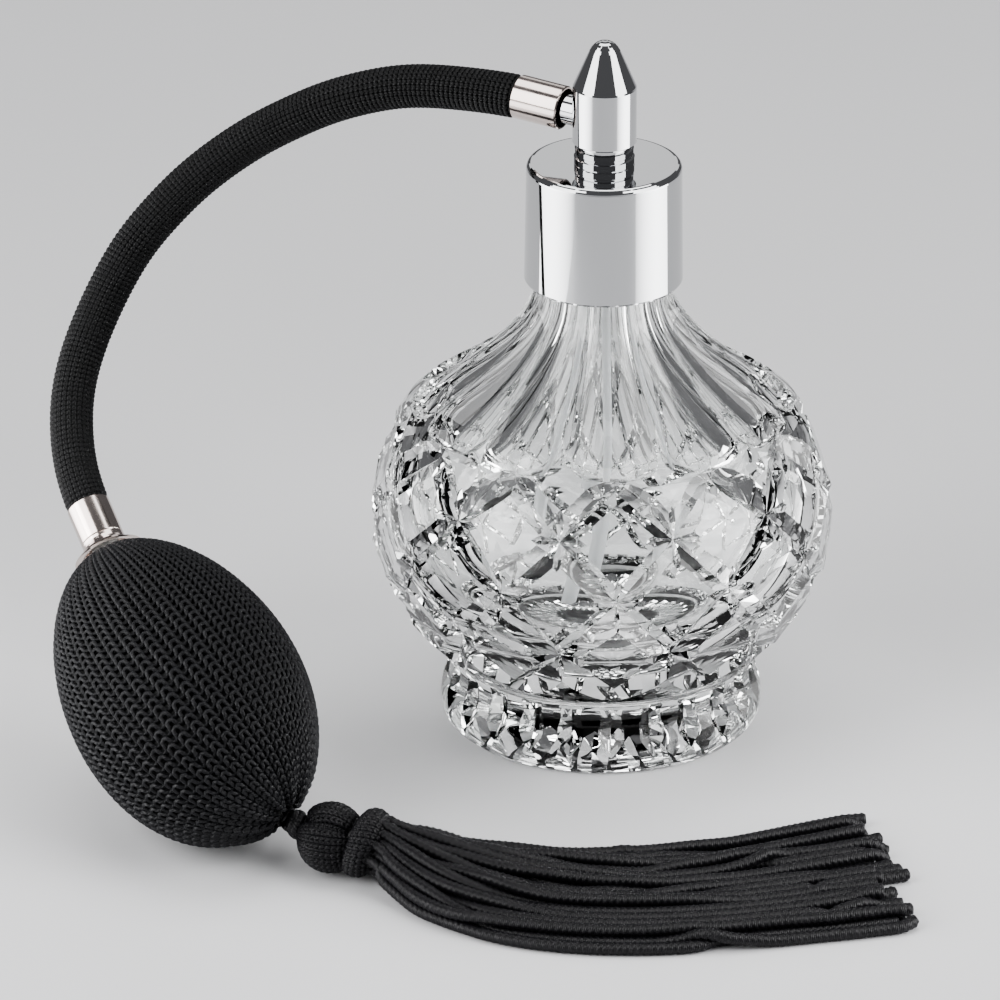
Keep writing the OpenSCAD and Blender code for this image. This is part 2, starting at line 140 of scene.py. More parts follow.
# ---------------------------------------------------------------- meshes
def mesh_object(name, points, faces, material, uv=None, smooth=True):
    """An object from points and faces. faces is a list of integer arrays, one per face size."""
    mesh = bpy.data.meshes.new(name)
    points = np.asarray(points, np.float32)
    groups = [np.asarray(f, np.int32) for f in faces if len(f)]
    loops = np.concatenate([f.ravel() for f in groups])
    sizes = np.concatenate([np.full(len(f), f.shape[1], np.int32) for f in groups])
    mesh.vertices.add(len(points))
    mesh.vertices.foreach_set("co", points.ravel())
    mesh.loops.add(len(loops))
    mesh.loops.foreach_set("vertex_index", loops)
    mesh.polygons.add(len(sizes))
    starts = np.concatenate([[0], np.cumsum(sizes)[:-1]]).astype(np.int32)
    mesh.polygons.foreach_set("loop_start", starts)
    mesh.polygons.foreach_set("use_smooth", np.full(len(sizes), smooth, bool))
    mesh.update(calc_edges=True)
    if uv is not None:
        layer = mesh.uv_layers.new(name="UVMap")
        layer.data.foreach_set("uv", np.asarray(uv, np.float32)[loops].ravel())
    mesh.validate()
    obj = bpy.data.objects.new(name, mesh)
    bpy.context.scene.collection.objects.link(obj)
    if material is not None:
        mesh.materials.append(material)
    return obj


def grid_quads(rings, sides, wrap=True, offset=0):
    """Quads between rings of points; wrap joins each ring's last point to its first."""
    i = np.arange(rings - 1)[:, None] * sides
    k = np.arange(sides if wrap else sides - 1)[None, :]
    j = (k + 1) % sides
    quads = np.stack([i + k, i + j, i + sides + j, i + sides + k], -1)
    return quads.reshape(-1, 4) + offset


def end_fans(rings, sides):
    """Triangles that close both ends of a tube, whose two end points come after its rings."""
    k = np.arange(sides)
    j = (k + 1) % sides
    top, first = (rings - 1) * sides, rings * sides
    return [np.stack([j, k, np.full(sides, first)], 1),
            np.stack([top + k, top + j, np.full(sides, first + 1)], 1)]


def end_rims(rings, sides):
    """Quads that join both ends of an outer wall to an inner wall, whose points come after it."""
    k = np.arange(sides)
    j = (k + 1) % sides
    top, inner = (rings - 1) * sides, rings * sides
    return [np.stack([j, k, inner + k, inner + j], 1),
            np.stack([top + k, top + j, inner + top + j, inner + top + k], 1)]


def tube(path, radius, sides, inner=None):
    """Rings of points round a path, and their faces and UVs (turns, metres along).

    radius(angle, along) gives the outer radius. With inner, a plain bore of that radius
    makes it a hose; without it, both ends are closed."""
    u, v = carried_frames(path)
    angle = np.arange(sides) * TAU / sides
    along = arc_lengths(path)
    r = radius(angle[None, :], along[:, None]) * np.ones((len(path), sides))
    spokes = around(angle[None, :], u[:, None], v[:, None])
    outer = path[:, None] + r[..., None] * spokes
    uv = np.stack(np.broadcast_arrays(angle[None, :] / TAU, along[:, None]), -1).reshape(-1, 2)
    n = len(path)
    walls = grid_quads(n, sides)
    if inner is None:
        points = np.vstack([outer.reshape(-1, 3), path[:1], path[-1:]])
        ends = [[0.5, 0], [0.5, along[-1]]]
        return points, [walls, np.vstack(end_fans(n, sides))], np.vstack([uv, ends])
    bore = (path[:, None] + inner * spokes).reshape(-1, 3)
    points = np.vstack([outer.reshape(-1, 3), bore])
    back = walls[:, ::-1] + n * sides
    return points, [walls, back, *end_rims(n, sides)], np.vstack([uv, uv])


def braid(cells, pitch, depth):
    """Relief of a plain braid: a lattice of short yarn lengths that lean left and right in turn."""
    def relief(angle, along):
        a = angle * cells / TAU + along / pitch
        b = angle * cells / TAU - along / pitch
        fa, fb = a - np.floor(a) - 0.5, b - np.floor(b) - 0.5
        leans = (np.floor(a) + np.floor(b)) % 2 == 0
        across, run = np.where(leans, fa, fb), np.where(leans, fb, fa)
        return depth * (np.cos(math.pi * across) * np.cos(math.pi * run) ** 0.5 - 0.7)
    return relief


def knit_tube(centres, normals, closed, sides, radius):
    """A yarn along centres, with its cross-section set square to the surface normals."""
    t = tangents(centres, closed)
    n = unit(normals - t * (normals * t).sum(1, keepdims=True))
    b = np.cross(t, n)
    a = np.arange(sides) * TAU / sides
    r = np.broadcast_to(radius, (len(centres),))[:, None, None]
    return centres[:, None] + r * around(a[None, :], n[:, None], b[:, None])


def knit(name, surface, wales, levels, yarn_r, material, per_stitch=8, sides=5, lift=1.0):
    """Rows of knitted loops on a surface. surface(turn, level, out) gives points at a share of a
    turn, a level and a height above it. levels are the rows' levels; each row is one closed yarn.
    lift scales how far the loops' heads and feet stand off the surface."""
    phase = np.arange(wales * per_stitch) / per_stitch
    phi = TAU * (phase % 1)
    lean, rise = 0.08, 0.55             # shares of a loop's width and of a row's height
    swing, tuck = 0.58, 0.27            # how far a loop moves off the surface, in yarn radii
    fill, least_r = 0.31, 0.02 * MM     # the yarn thins where loops crowd together
    turn = (phase + lean * np.sin(2 * phi)) / wales
    rows, faces, uvs = [], [], []
    n = len(phase)
    for row, level in enumerate(levels):
        span = levels[min(row + 1, len(levels) - 1)] - levels[max(row - 1, 0)]
        span = span / (min(row + 1, len(levels) - 1) - max(row - 1, 0))
        lv = level - rise * span * np.cos(phi)
        # the head of each loop lies over the row before it and its feet tuck under
        out = lift * yarn_r * (swing * np.cos(phi) - tuck * np.cos(2 * phi))
        centres = surface(turn, lv, out)
        above = surface(turn, lv, out + 0.5 * MM)
        wide = np.linalg.norm(np.roll(centres, -per_stitch, 0) - centres, axis=1)
        r = np.minimum(yarn_r, fill * wide + least_r)
        ring = knit_tube(centres, unit(above - centres), True, sides, r)
        i = np.arange(n)[:, None]
        k = np.arange(sides)[None, :]
        i2, k2 = (i + 1) % n, (k + 1) % sides
        quads = np.stack([i * sides + k, i2 * sides + k, i2 * sides + k2, i * sides + k2], -1)
        faces.append(quads.reshape(-1, 4) + row * n * sides)
        rows.append(ring.reshape(-1, 3))
        step = np.linalg.norm(np.roll(centres, -1, 0) - centres, axis=1)
        s = np.concatenate([[0], np.cumsum(step)[:-1]])
        uvs.append(np.stack(np.broadcast_arrays(k / sides, s[:, None]), -1).reshape(-1, 2))
    points = np.vstack(rows)
    return mesh_object(name, points, [np.vstack(faces)], material, np.vstack(uvs))


# ---------------------------------------------------------------- materials
class Nodes:
    """A material with a Principled BSDF and short calls for the nodes that feed it."""

    def __init__(self, name, **sockets):
        self.material = bpy.data.materials.new(name)
        self.material.use_nodes = True
        self.tree = self.material.node_tree
        self.shader = self.tree.nodes["Principled BSDF"]
        for socket, value in sockets.items():
            self.shader.inputs[socket.replace("_", " ")].default_value = value

    def node(self, kind, **values):
        n = self.tree.nodes.new(kind)
        for key, value in values.items():
            if key in n.inputs:
                n.inputs[key].default_value = value
            elif key.replace("_", " ") in n.inputs:
                n.inputs[key.replace("_", " ")].default_value = value
            else:
                setattr(n, key, value)
        return n

    def link(self, out, into):
        self.tree.links.new(out, into)

    def place(self, kind="Object", stretch=(1, 1, 1)):
        coords = self.node("ShaderNodeTexCoord")
        mapping = self.node("ShaderNodeMapping", Scale=stretch)
        self.link(coords.outputs[kind], mapping.inputs["Vector"])
        return mapping.outputs["Vector"]

    def noise(self, vector, scale, detail=3, rough=0.55):
        n = self.node("ShaderNodeTexNoise", Scale=scale, Detail=detail, Roughness=rough)
        self.link(vector, n.inputs["Vector"])
        return n.outputs["Fac"]

    def ramp(self, value, low, high, from_low=0.3, from_high=0.7):
        """A value or colour that varies from low to high with the input."""
        if hasattr(low, "__len__"):
            r = self.node("ShaderNodeValToRGB")
            r.color_ramp.elements[0].position = from_low
            r.color_ramp.elements[1].position = from_high
            r.color_ramp.elements[0].color = (*low, 1)
            r.color_ramp.elements[1].color = (*high, 1)
            self.link(value, r.inputs["Fac"])
            return r.outputs["Color"]
        m = self.node("ShaderNodeMapRange")
        limits = {"From Min": from_low, "From Max": from_high, "To Min": low, "To Max": high}
        for key, x in limits.items():
            m.inputs[key].default_value = x
        self.link(value, m.inputs["Value"])
        return m.outputs["Result"]

    def vary(self, socket, value, low, high, **limits):
        self.link(self.ramp(value, low, high, **limits), self.shader.inputs[socket])

    def bump(self, height, strength, distance):
        b = self.node("ShaderNodeBump", Strength=strength, Distance=distance)
        self.link(height, b.inputs["Height"])
        self.link(b.outputs["Normal"], self.shader.inputs["Normal"])


def glass_material():
    m = Nodes("cut_glass", Base_Color=(0.985, 0.995, 0.99, 1), Transmission_Weight=1, IOR=1.52)
    where = m.place()
    m.vary("Roughness", m.noise(where, 60), 0.0, 0.006)
    m.bump(m.noise(where, 140, 2), 0.01, 0.0003)
    return m.material


def chrome_material():
    m = Nodes("bright_chrome", Base_Color=(0.55, 0.556, 0.565, 1), Metallic=1)
    where = m.place()
    m.vary("Roughness", m.noise(where, 90, 5), 0.025, 0.06)
    m.bump(m.noise(where, 35, 2), 0.02, 0.0002)
    return m.material


def nickel_material():
    m = Nodes("warm_nickel", Base_Color=(0.66, 0.585, 0.55, 1), Metallic=1)
    where = m.place()
    m.vary("Roughness", m.noise(where, 220, 5), 0.1, 0.19)
    m.bump(m.noise(where, 900, 3), 0.05, 0.00005)
    return m.material


def yarn_material(name, low, high, ply=0.0011, rough=(0.42, 0.6), sheen=0.03):
    """Dark yarn whose plies and fibres run slantwise along each length."""
    m = Nodes(name, Sheen_Weight=sheen, Sheen_Roughness=0.4)
    m.shader.inputs["Sheen Tint"].default_value = (0.75, 0.78, 0.85, 1)
    m.shader.inputs["Specular IOR Level"].default_value = 0.3
    uv = m.place("UV", (2, 1 / ply, 1))
    plies = m.node("ShaderNodeTexWave", bands_direction="DIAGONAL", Scale=1.0, Distortion=1.2, Detail=2)
    plies.inputs["Detail Scale"].default_value = 3
    m.link(uv, plies.inputs["Vector"])
    where = m.place()
    m.vary("Base Color", m.noise(where, 900, 4), low, high)
    m.vary("Roughness", m.noise(where, 500, 3), *rough)
    m.bump(plies.outputs["Fac"], 0.5, 0.00012)
    return m.material


def plastic_material(name, low, high, rough=(0.35, 0.5), **sockets):
    m = Nodes(name, **sockets)
    where = m.place()
    m.vary("Base Color", m.noise(where, 120, 3), low, high)
    m.vary("Roughness", m.noise(where, 300, 3), *rough)
    m.bump(m.noise(where, 1500, 2), 0.08, 0.00004)
    return m.material


def metal_material(name, low, high, rough):
    m = Nodes(name, Metallic=1)
    where = m.place()
    m.vary("Base Color", m.noise(where, 200, 3), low, high)
    m.vary("Roughness", m.noise(where, 400, 3), *rough)
    m.bump(m.noise(where, 2000, 2), 0.06, 0.00003)
    return m.material


GLASS = glass_material()
CHROME = chrome_material()
NICKEL = nickel_material()
KNIT = yarn_material("black_knit_yarn", (0.003, 0.003, 0.004), (0.010, 0.010, 0.012))
BRAID = yarn_material("black_braid", (0.003, 0.003, 0.003), (0.009, 0.009, 0.010), ply=0.0007)
CORD = yarn_material("black_cord", (0.003, 0.003, 0.004), (0.011, 0.010, 0.012), ply=0.0005,
                     rough=(0.3, 0.45))
RUBBER = plastic_material("black_rubber", (0.004, 0.004, 0.004), (0.01, 0.01, 0.01), (0.55, 0.75))
NYLON = plastic_material("white_nylon", (0.80, 0.80, 0.78), (0.88, 0.88, 0.86))
MILKY = plastic_material("milky_tube", (0.90, 0.92, 0.95), (0.96, 0.97, 0.98), (0.3, 0.45),
                         Transmission_Weight=0.1, IOR=1.5)
SEAL = plastic_material("soft_seal", (0.72, 0.70, 0.64), (0.80, 0.78, 0.72), (0.5, 0.7))
DARK_PLASTIC = plastic_material("dark_plastic", (0.02, 0.02, 0.022), (0.035, 0.035, 0.038))
BRASS = metal_material("machined_brass", (0.72, 0.52, 0.22), (0.83, 0.64, 0.33), (0.15, 0.3))
STEEL = metal_material("ball_steel", (0.62, 0.62, 0.64), (0.72, 0.72, 0.74), (0.08, 0.16))

NODE_MATERIALS = {
    "neck_gasket": SEAL, "collar_shell": CHROME, "collar_liner": NYLON, "spray_core": NYLON,
    "dip_tube": MILKY, "head_base_ring": CHROME, "head_shell": CHROME, "nozzle_insert": DARK_PLASTIC,
    "liquid_jet": BRASS, "side_pipe": CHROME, "pipe_boss": CHROME, "upper_ferrule": NICKEL,
    "lower_ferrule": NICKEL, "bulb_cup": NICKEL, "bulb_connector": NYLON, "outlet_seat": BRASS,
    "outlet_ball": STEEL, "inlet_body": NYLON, "inlet_cage": BRASS, "inlet_ball": STEEL,
    "cover_tie": CORD,
}


def finish_cad_nodes():
    for name, material in NODE_MATERIALS.items():
        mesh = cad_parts[name].data
        mesh.materials.clear()
        mesh.materials.append(material)


def keep(obj, body, slot, *nodes):
    """Puts a piece on its body and hides the CAD nodes that it stands for."""
    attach(obj, body)
    if nodes:
        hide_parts(*nodes)
    return obj


# ---------------------------------------------------------------- hose
PIPE_O = np.array([0, 0, 0.1065])
PIPE_DIR = unit([-0.89, 0.45, 0.07])
CUP_O = np.array([-0.0817, -0.0134, 0.0343])
CUP_DIR = unit([0.38, -0.72, -0.58])
HOSE_START, FERRULE_END = 0.009, 0.0157        # along the side pipe
LOWER_FERRULE, HOSE_END = -0.0098, -0.0046     # along the cup's axis
HOSE_R, HELD_R = 0.0036, 0.0032
HOSE_ROUTE = [
    (-0.0205, 0.010, 0.1075), (-0.0265, 0.013, 0.107), (-0.033, 0.016, 0.106),
    (-0.0395, 0.018, 0.104), (-0.0455, 0.020, 0.1015), (-0.0515, 0.022, 0.098),
    (-0.0575, 0.023, 0.0945), (-0.063, 0.0235, 0.0905), (-0.0685, 0.0235, 0.086),
    (-0.0735, 0.0225, 0.081), (-0.078, 0.021, 0.076), (-0.0815, 0.019, 0.0705),
    (-0.0845, 0.016, 0.065), (-0.087, 0.012, 0.0595), (-0.0885, 0.008, 0.054),
    (-0.0885, 0.003, 0.0485), (-0.0875, -0.002, 0.044),
]


def make_hose():
    ends_a = [PIPE_O + s * PIPE_DIR for s in (HOSE_START, FERRULE_END - 0.0001, FERRULE_END + 0.001)]
    ends_b = [CUP_O + t * CUP_DIR for t in (LOWER_FERRULE - 0.001, LOWER_FERRULE + 0.0001, HOSE_END)]
    path = spaced(smooth_through([*ends_a, *HOSE_ROUTE, *ends_b]), 0.24 * MM)
    # averaging takes out the small waves that listed points leave; the ferrules' ends stay
    rounds, still = 400, 20
    for _ in range(rounds):
        between = 0.5 * (path[still - 1:-still - 1] + path[still + 1:1 - still])
        path[still:-still] += 0.5 * (between - path[still:-still])
    s = arc_lengths(path)
    length = s[-1]
    u, v = carried_frames(path)
    held_a, held_b = FERRULE_END - HOSE_START, HOSE_END - LOWER_FERRULE
    knit_depth, lining_depth, swell_span = 0.4 * MM, 0.8 * MM, 0.8 * MM

    def swell(along):
        """Share of the free hose's thickness: less where a ferrule grips it."""
        return np.clip(np.minimum(along - held_a, length - held_b - along) / swell_span, 0, 1) ** 0.5

    def sleeve_surface(turn, level, out):
        along = np.clip(level + 0 * turn, 0, 1) * length
        mid, a, b = (np.stack([np.interp(along, s, line[:, k]) for k in range(3)], 1)
                     for line in (path, u, v))
        r = HELD_R + (HOSE_R - HELD_R) * swell(along) - knit_depth + out
        return mid + r[:, None] * around(TAU * turn, a, b)

    tube_r, bore_r, slack = 2.28 * MM, 1.62 * MM, 0.02 * MM
    wales, rows = 24, np.linspace(0.006, 0.994, 156)
    plain = lambda a, along: tube_r + 0 * along
    under_knit = lambda a, along: HELD_R + (HOSE_R - HELD_R) * swell(along) - lining_depth
    tube_parts = bare_tube(spaced(path, 1.2 * MM), plain, 24, bore_r)
    lining_parts = bare_tube(path[::3], under_knit, 40, tube_r + slack)
    rubber = mesh_object("hose_inner_tube", *tube_parts, RUBBER)
    lining = mesh_object("hose_sleeve_lining", *lining_parts, BRAID)
    sleeve = knit("hose_braided_sleeve", sleeve_surface, wales, rows, 0.28 * MM, BRAID, lift=1.6)
    keep(rubber, "hose", "rubber", "hose_tube")
    keep(lining, "hose", "braid")
    keep(sleeve, "hose", "braid", "hose_braid")


def bare_tube(path, radius, sides, inner):
    """The points and faces of a hose, without UVs."""
    points, faces, _ = tube(path, radius, sides, inner)
    return points, faces


make_hose()


# ---------------------------------------------------------------- tassel cords
KNOT_O = np.array([-0.0443, -0.0605, 0.006])
KNOT_DIR = unit([0.95, -0.31, 0])
BAND_END = 0.0098
BAND_RING, BAND_TUBE, BAND_MID, BAND_TILT = 3.1 * MM, 2.3 * MM, 6.0 * MM, 1.3 * MM
CORD_R, MOUTH_R = 1.02 * MM, 4.4 * MM
# how the skirt lies: x, y, half width and height
SKIRT_LINE = np.array([
    (-0.030, -0.0665, 0.010, 0.0096), (-0.025, -0.0695, 0.0135, 0.0084),
    (-0.019, -0.0725, 0.0155, 0.007), (-0.008, -0.076, 0.0155, 0.0058),
    (0.003, -0.0765, 0.015, 0.005), (0.014, -0.0745, 0.015, 0.0046),
    (0.025, -0.071, 0.016, 0.0042), (0.036, -0.066, 0.0185, 0.0036),
    (0.0445, -0.0633, 0.0192, 0.0026), (0.0485, -0.0622, 0.0200, 0.0024),
    (0.0560, -0.0600, 0.0208, 0.0024),
])
SPARE = 7.8 * MM            # the outline runs on past the shorter cords' ends
CORDS = 36
STATIONS = 84


def cord_starts():
    """Points spread over the mouth of the band by the golden angle, as (across, up)."""
    k = np.arange(CORDS)
    r = MOUTH_R * np.sqrt((k + 0.5) / CORDS)
    a = k * math.pi * (3 - math.sqrt(5))
    return np.stack([r * np.cos(a), r * np.sin(a)], 1)


def laid_cords(rng):
    """The cords' first guess: side by side in the skirt's outline, with slow waves."""
    side = np.array([KNOT_DIR[1], -KNOT_DIR[0], 0])   # to the viewer's side
    up = np.array([0, 0, 1.0])
    starts = cord_starts()
    order = np.argsort(starts[:, 0])
    # the cord furthest to one side at the band lies furthest to that side in the skirt
    rank = np.empty(CORDS)
    rank[order] = np.linspace(-1, 1, CORDS)
    mid = KNOT_O + BAND_END * KNOT_DIR
    line = np.vstack([[mid[0], mid[1], 0.0048, 0.0105], SKIRT_LINE])
    dense = smooth_through(line, 16)
    total = arc_lengths(dense[:, :2])[-1]
    most_drift, wave_height, edge, lead_in = 0.34, 0.9 * MM, 1.6 * MM, 9 * MM
    cords = []
    for i in range(CORDS):
        share = rank[i]
        drift = rng.uniform(-most_drift, most_drift)
        # mm short of the outline's end: uneven, and least on the far side
        short = 2.5 + 4.5 * abs(share) + 5 * rng.random() ** 1.6 - 7.5 * max(0, -share)
        reach = total - SPARE - short * MM
        s = np.linspace(0, reach, STATIONS)
        at = np.stack([np.interp(s, arc_lengths(dense[:, :2]), dense[:, k]) for k in range(4)], 1)
        heading = unit(np.gradient(at[:, :2], axis=0))
        normal = np.stack([heading[:, 1], -heading[:, 0]], 1)
        t = s / total
        wave = wave_height * np.sin(TAU * (t * rng.uniform(0.5, 1.1) + rng.random()))
        wave = wave * np.clip(t * 3, 0, 1)
        spread = share + drift * (1 - share ** 2) * t * t * (3 - 2 * t)
        across = spread * (at[:, 2] - edge) + wave
        xy = at[:, :2] + normal * across[:, None]
        level = rng.uniform(0.2, 0.95) * np.sqrt(np.clip(1 - share ** 2, 0, 1))
        z = CORD_R + level * (at[:, 3] - 2 * CORD_R)
        p = np.column_stack([xy, z])
        # each begins inside the tilted band
        inside = BAND_TILT * starts[i, 1] / BAND_RING - 3.0 * MM
        begin = mid + starts[i, 0] * side + starts[i, 1] * up + inside * KNOT_DIR
        blend = np.clip(s / lead_in, 0, 1)[:, None]
        blend = blend * blend * (3 - 2 * blend)
        straight = begin + s[:, None] * KNOT_DIR
        cords.append(straight * (1 - blend) + p * blend)
    return np.array(cords)


def settle_cords():
    """Lets the cords fall, push each other aside and come to rest on the table."""
    rng = np.random.default_rng(7)
    p = laid_cords(rng)
    home = p.copy()
    step = np.linalg.norm(np.diff(p, axis=1), axis=2).mean(axis=1)
    pinned, near = 4, 4         # stations held in the band, and stations looked at each way for contact
    gap = 2 * CORD_R * 1.04
    fall, furthest = 0.05 * MM, 0.5 * MM        # the drop and the longest push of one round
    smoothing, stiffness, hold, parting, give = 0.35, 0.12, 0.01, 0.45, 0.6
    held = 0.72                 # share of its thickness that a cord keeps under the band
    squeezed = np.clip(held + np.arange(STATIONS) * step.mean() / (12 * MM) * 0.28, held, 1)
    rounds = 320
    for _ in range(rounds):
        p[:, pinned:, 2] -= fall
        for _ in range(2):
            bend = 0.5 * (p[:, :-2] + p[:, 2:]) - p[:, 1:-1]
            p[:, 1:-1] += smoothing * bend
        p[:, 5:-5] += stiffness * (0.5 * (p[:, :-10] + p[:, 10:]) - p[:, 5:-5])
        p[:, pinned:, :2] += hold * (home[:, pinned:, :2] - p[:, pinned:, :2])
        push = np.zeros_like(p)
        for d in range(-near, near + 1):
            lo, hi = max(0, -d), min(STATIONS, STATIONS - d)
            a, b = p[:, lo:hi], p[:, lo + d:hi + d]
            gap_here = gap * 0.5 * (squeezed[lo:hi] + squeezed[lo + d:hi + d])
            apart = a[:, None] - b[None]
            dist = np.linalg.norm(apart, axis=3)
            dist[np.arange(CORDS), np.arange(CORDS)] = 1
            dist = np.maximum(dist, 1e-7)
            deep = np.clip(gap_here[None, None, :] - dist, 0, None)
            push[:, lo:hi] += (parting * (deep / dist)[..., None] * apart).sum(axis=1)
        size = np.linalg.norm(push, axis=2, keepdims=True)
        push *= np.minimum(1, furthest / np.maximum(size, 1e-9))
        p[:, pinned:] += give * push[:, pinned:]
        for _ in range(2):
            gone = p[:, 1:] - p[:, :-1]
            long = np.linalg.norm(gone, axis=2, keepdims=True)
            fix = 0.5 * gone * (1 - step[:, None, None] / long)
            p[:, :-1] += fix
            p[:, 1:] -= fix
            p[:, :pinned] = home[:, :pinned]
        p[..., 2] = np.maximum(p[..., 2], CORD_R + 0.05 * MM)
    return p


def make_tassel_cords():
    relief = braid(cells=4, pitch=1.05 * MM, depth=0.27 * MM)
    for i, line in enumerate(settle_cords()):
        path = spaced(smooth_through(line, 8), 0.21 * MM)
        length = arc_lengths(path)[-1]

        def radius(angle, along):
            squeezed = 0.8 + 0.2 * np.clip(along / (10 * MM), 0, 1)
            end = np.clip((length - along) / (0.5 * MM), 0, 1)
            frayed = 1 + 0.10 * np.clip(1 - (length - along) / (2.2 * MM), 0, 1)
            return (CORD_R * squeezed * frayed + relief(angle, along)) * (0.8 + 0.2 * np.sqrt(end))

        points, faces, uv = tube(path, radius, 16)
        points[:, 2] = np.maximum(points[:, 2], 0.03 * MM)
        cord = mesh_object(f"tassel_cord_{i + 1:02d}", points, faces, CORD, uv)
        keep(cord, "tassel", "cord", "tassel_skirt")


make_tassel_cords()


# ---------------------------------------------------------------- glass
BODY_R, BODY_Z, BODY_LOW, BODY_HIGH = 39.0, 36.8, 32.0, 33.5
FOOT_R = 27.0
HOLLOW_R, HOLLOW_Z, HOLLOW_LOW, HOLLOW_HIGH = 33.5, 37.5, 23.5, 26.5
NECK_R, THREAD_R, RIM_Z, NECK_BORE_R = 9.7, 10.5, 94.4, 7.3


def ellipse_arc(zc, rx, rz, a0, a1, n):
    a = np.radians(np.linspace(a0, a1, n + 1))
    return np.stack([rx * np.cos(a), zc + rz * np.sin(a)], 1)


def glass_outline():
    """The bottle's outside in millimetres, from the centre of the base to the rim: (r, z)."""
    foot_top, shoulder = 15.2, 55       # heights at which the body's two arcs end
    a0 = -math.degrees(math.asin((BODY_Z - foot_top) / BODY_LOW))
    a1 = math.degrees(math.asin((shoulder - BODY_Z) / BODY_HIGH))
    low = ellipse_arc(BODY_Z, BODY_R, BODY_LOW, a0, 0, 24)
    high = ellipse_arc(BODY_Z, BODY_R, BODY_HIGH, 2.5, a1, 16)
    return np.vstack([
        bezier([FOOT_R - 1.6, 0], [FOOT_R, 0], [FOOT_R + 0.2, 2.6], [FOOT_R - 0.1, 4.4], 10),
        bezier([FOOT_R - 0.2, 5], [FOOT_R - 0.6, 7], [FOOT_R - 1.6, 8.5], [FOOT_R - 1.4, 11], 8),
        bezier([FOOT_R - 1.3, 11.5], [FOOT_R - 0.9, 13], low[0] - [1, 0.9], low[0], 6)[:-1],
        low, high,
        bezier([31.8, 55.7], [27.5, 58.8], [11.3, 68.5], [11.3, 78.5], 28),
    ])


OUTLINE = glass_outline()


def neck_outline():
    turns = [[(NECK_R, z), (THREAD_R, z + 0.6), (THREAD_R, z + 1.4), (NECK_R, z + 2)]
             for z in (83, 87.4)]
    return np.vstack([[(11, 79.3), (NECK_R, 80.4)], *turns,
                      [(NECK_R, RIM_Z - 0.5), (NECK_R - 0.5, RIM_Z), (NECK_BORE_R, RIM_Z)]])


def hollow_outline():
    """The inside, from the neck down to the centre of the hollow's floor."""
    low = ellipse_arc(HOLLOW_Z, HOLLOW_R, HOLLOW_LOW, 0, -86, 22)
    high = ellipse_arc(HOLLOW_Z, HOLLOW_R, HOLLOW_HIGH, 42, 3, 14)
    neck = bezier(high[0], [18.9, 60.5], [NECK_BORE_R, 66], [NECK_BORE_R, 78.5], 18)[::-1]
    return np.vstack([neck[:-1], high, low])


def lathe(outline, sides):
    """A closed surface of revolution from an outline in mm that starts and ends on the axis."""
    a = np.arange(sides) * TAU / sides
    ring = np.stack([np.cos(a), np.sin(a)], 1)
    body = outline[1:-1]
    rings = np.concatenate([body[:, None, :1] * ring[None], np.repeat(body[:, None, 1:], sides, 1)], 2)
    n = len(body)
    points = np.vstack([rings.reshape(-1, 3), [[0, 0, outline[0, 1]], [0, 0, outline[-1, 1]]]]) * MM
    return points, [grid_quads(n, sides), *end_fans(n, sides)]


def facing(a):
    """The level direction at an angle in degrees from the front."""
    t = math.radians(a - 90)
    return np.array([math.cos(t), math.sin(t), 0])


def on_glass(a, z):
    """A point of the uncut body at an angle from the front and a height, and its normal, in mm."""
    part = OUTLINE[1:]
    part = part[np.concatenate([[True], np.diff(part[:, 1]) > 0.01])]
    r = np.interp(z, part[:, 1], part[:, 0])
    d = 0.4                             # the slope is measured over this height each way
    slope = np.interp(z + d, part[:, 1], part[:, 0]) - np.interp(z - d, part[:, 1], part[:, 0])
    out = facing(a)
    normal = unit(out - np.array([0, 0, slope / (2 * d)]))
    return out * r + np.array([0, 0, z]), normal


SECTORS = 12
STEP = 360 / SECTORS
STAR_A, PEAK_A = -12.0, 3.0       # the two sets of columns, in degrees from the front
PEAK_Z, ROW_1, ROW_2, ROW_3, LOW_Z = 55.0, 47.0, 36.5, 25.0, 15.8
STAR_REACH, STAR_RISE = 3.1, 2.8  # half the plain length of a star's level and upright cuts


class Cutters:
    """Cutting tools of one kind, gathered into one mesh of separate closed solids."""

    def __init__(self):
        self.points, self.faces, self.count = [], [], 0

    def add(self, points, faces):
        points = np.asarray(points, float)
        # the solver needs every tool's faces to point outward, so that its volume is positive
        fans = np.array([(f[0], f[i], f[i + 1]) for f in faces for i in range(1, len(f) - 1)])
        a, b, c = (points[fans[:, i]] for i in range(3))
        if np.einsum("ij,ij->", a, np.cross(b, c)) < 0:
            faces = [f[::-1] for f in faces]
        self.points.append(points)
        self.faces += [[i + self.count for i in f] for f in faces]
        self.count += len(points)

    def object(self, name):
        mesh = bpy.data.meshes.new(name)
        mesh.from_pydata((np.vstack(self.points) * MM).tolist(), [], self.faces)
        obj = bpy.data.objects.new(name, mesh)
        bpy.context.scene.collection.objects.link(obj)
        return obj


def loft(sections):
    """A closed solid through sections that have the same number of points, in order."""
    n = len(sections[0])
    points = np.vstack(sections)
    faces = [[s * n + k, s * n + (k + 1) % n, (s + 1) * n + (k + 1) % n, (s + 1) * n + k]
             for s in range(len(sections) - 1) for k in range(n)]
    faces += [list(range(n))[::-1], [(len(sections) - 1) * n + k for k in range(n)]]
    return points, faces


